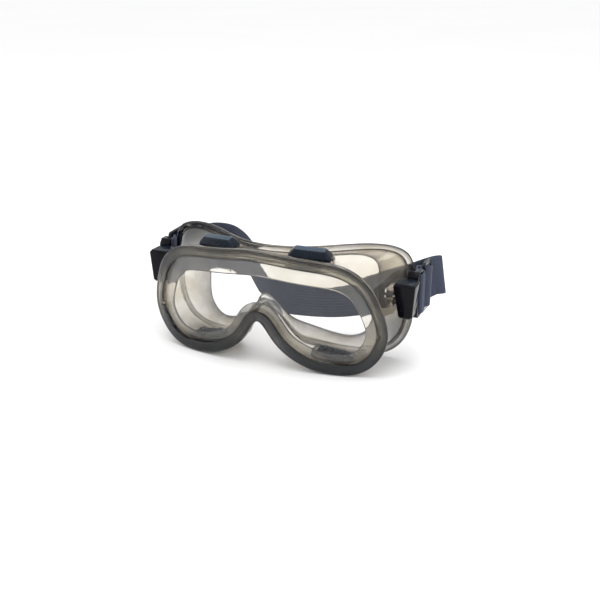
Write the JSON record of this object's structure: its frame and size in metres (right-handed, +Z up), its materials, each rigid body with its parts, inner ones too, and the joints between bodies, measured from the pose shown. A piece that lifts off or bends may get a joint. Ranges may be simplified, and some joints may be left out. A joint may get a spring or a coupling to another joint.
{
  "type": "safety goggles",
  "caption": "Safety goggles with a soft translucent wrap frame, clear lens, capped vents, two swivelling strap clips and an elastic headband with slide adjusters.",
  "frame": {"origin": "centre of the bounding box in X and Y, at its lowest point in Z, where the goggles stand on a table", "axes": "+X towards the side seen on the right from in front, across the lens; +Y from the lens towards the back of the strap; +Z up. Left in a node's name is the +X side."},
  "size_m": [0.187, 0.1104, 0.0785],
  "materials": {
    "frame_vinyl": "translucent smoke-grey soft vinyl, satin",
    "lens_clear": "clear polished polycarbonate",
    "vent_cap": "dark blue-black, satin",
    "vent_baffle": "dark blue, satin",
    "clip": "glossy black",
    "pin": "black, satin",
    "washer": "grey",
    "slider": "black, satin, ribbed",
    "strap": "ribbed navy elastic"
  },
  "bodies": {
    "goggles": {"frame_body": "frame_vinyl", "lens": "lens_clear", "vent_cap_top_left": "vent_cap", "vent_cap_top_right": "vent_cap", "vent_cap_bottom_left": "vent_cap", "vent_cap_bottom_right": "vent_cap", "vent_baffle_top_left": "vent_baffle", "vent_baffle_top_right": "vent_baffle", "vent_baffle_bottom_left": "vent_baffle", "vent_baffle_bottom_right": "vent_baffle", "pin_washer_left": "washer", "pin_washer_right": "washer", "headband_left": "strap", "headband_back": "strap", "headband_right": "strap"},
    "clip_left": {"strap_clip_left": "clip", "pivot_pin_left": "pin", "strap_loop_left": "strap"},
    "slider_left": {"strap_slider_left": "slider", "strap_hem_left": "strap"},
    "clip_right": {"strap_clip_right": "clip", "pivot_pin_right": "pin", "strap_loop_right": "strap"},
    "slider_right": {"strap_slider_right": "slider", "strap_hem_right": "strap"}
  },
  "joints": [
    {"name": "clip_pivot_left", "type": "hinge", "parent": "goggles", "child": "clip_left", "pos_m": [0.07868, -0.01496, 0.0469], "axis": [1, 0, 0], "range_deg": [-6, 18], "deforming": ["headband_left"]},
    {"name": "slider_slide_left", "type": "slide", "parent": "clip_left", "child": "slider_left", "axis": [-0.12, 0.9775, -0.1736], "range_m": [0, 0.006], "deforming": ["strap_loop_left"]},
    {"name": "clip_pivot_right", "type": "hinge", "parent": "goggles", "child": "clip_right", "pos_m": [-0.07572, -0.01496, 0.0469], "axis": [1, 0, 0], "range_deg": [-6, 18], "deforming": ["headband_right"]},
    {"name": "slider_slide_right", "type": "slide", "parent": "clip_right", "child": "slider_right", "axis": [0.0174, 0.9985, 0.0523], "range_m": [0, 0.006], "deforming": ["strap_loop_right"]}
  ]
}
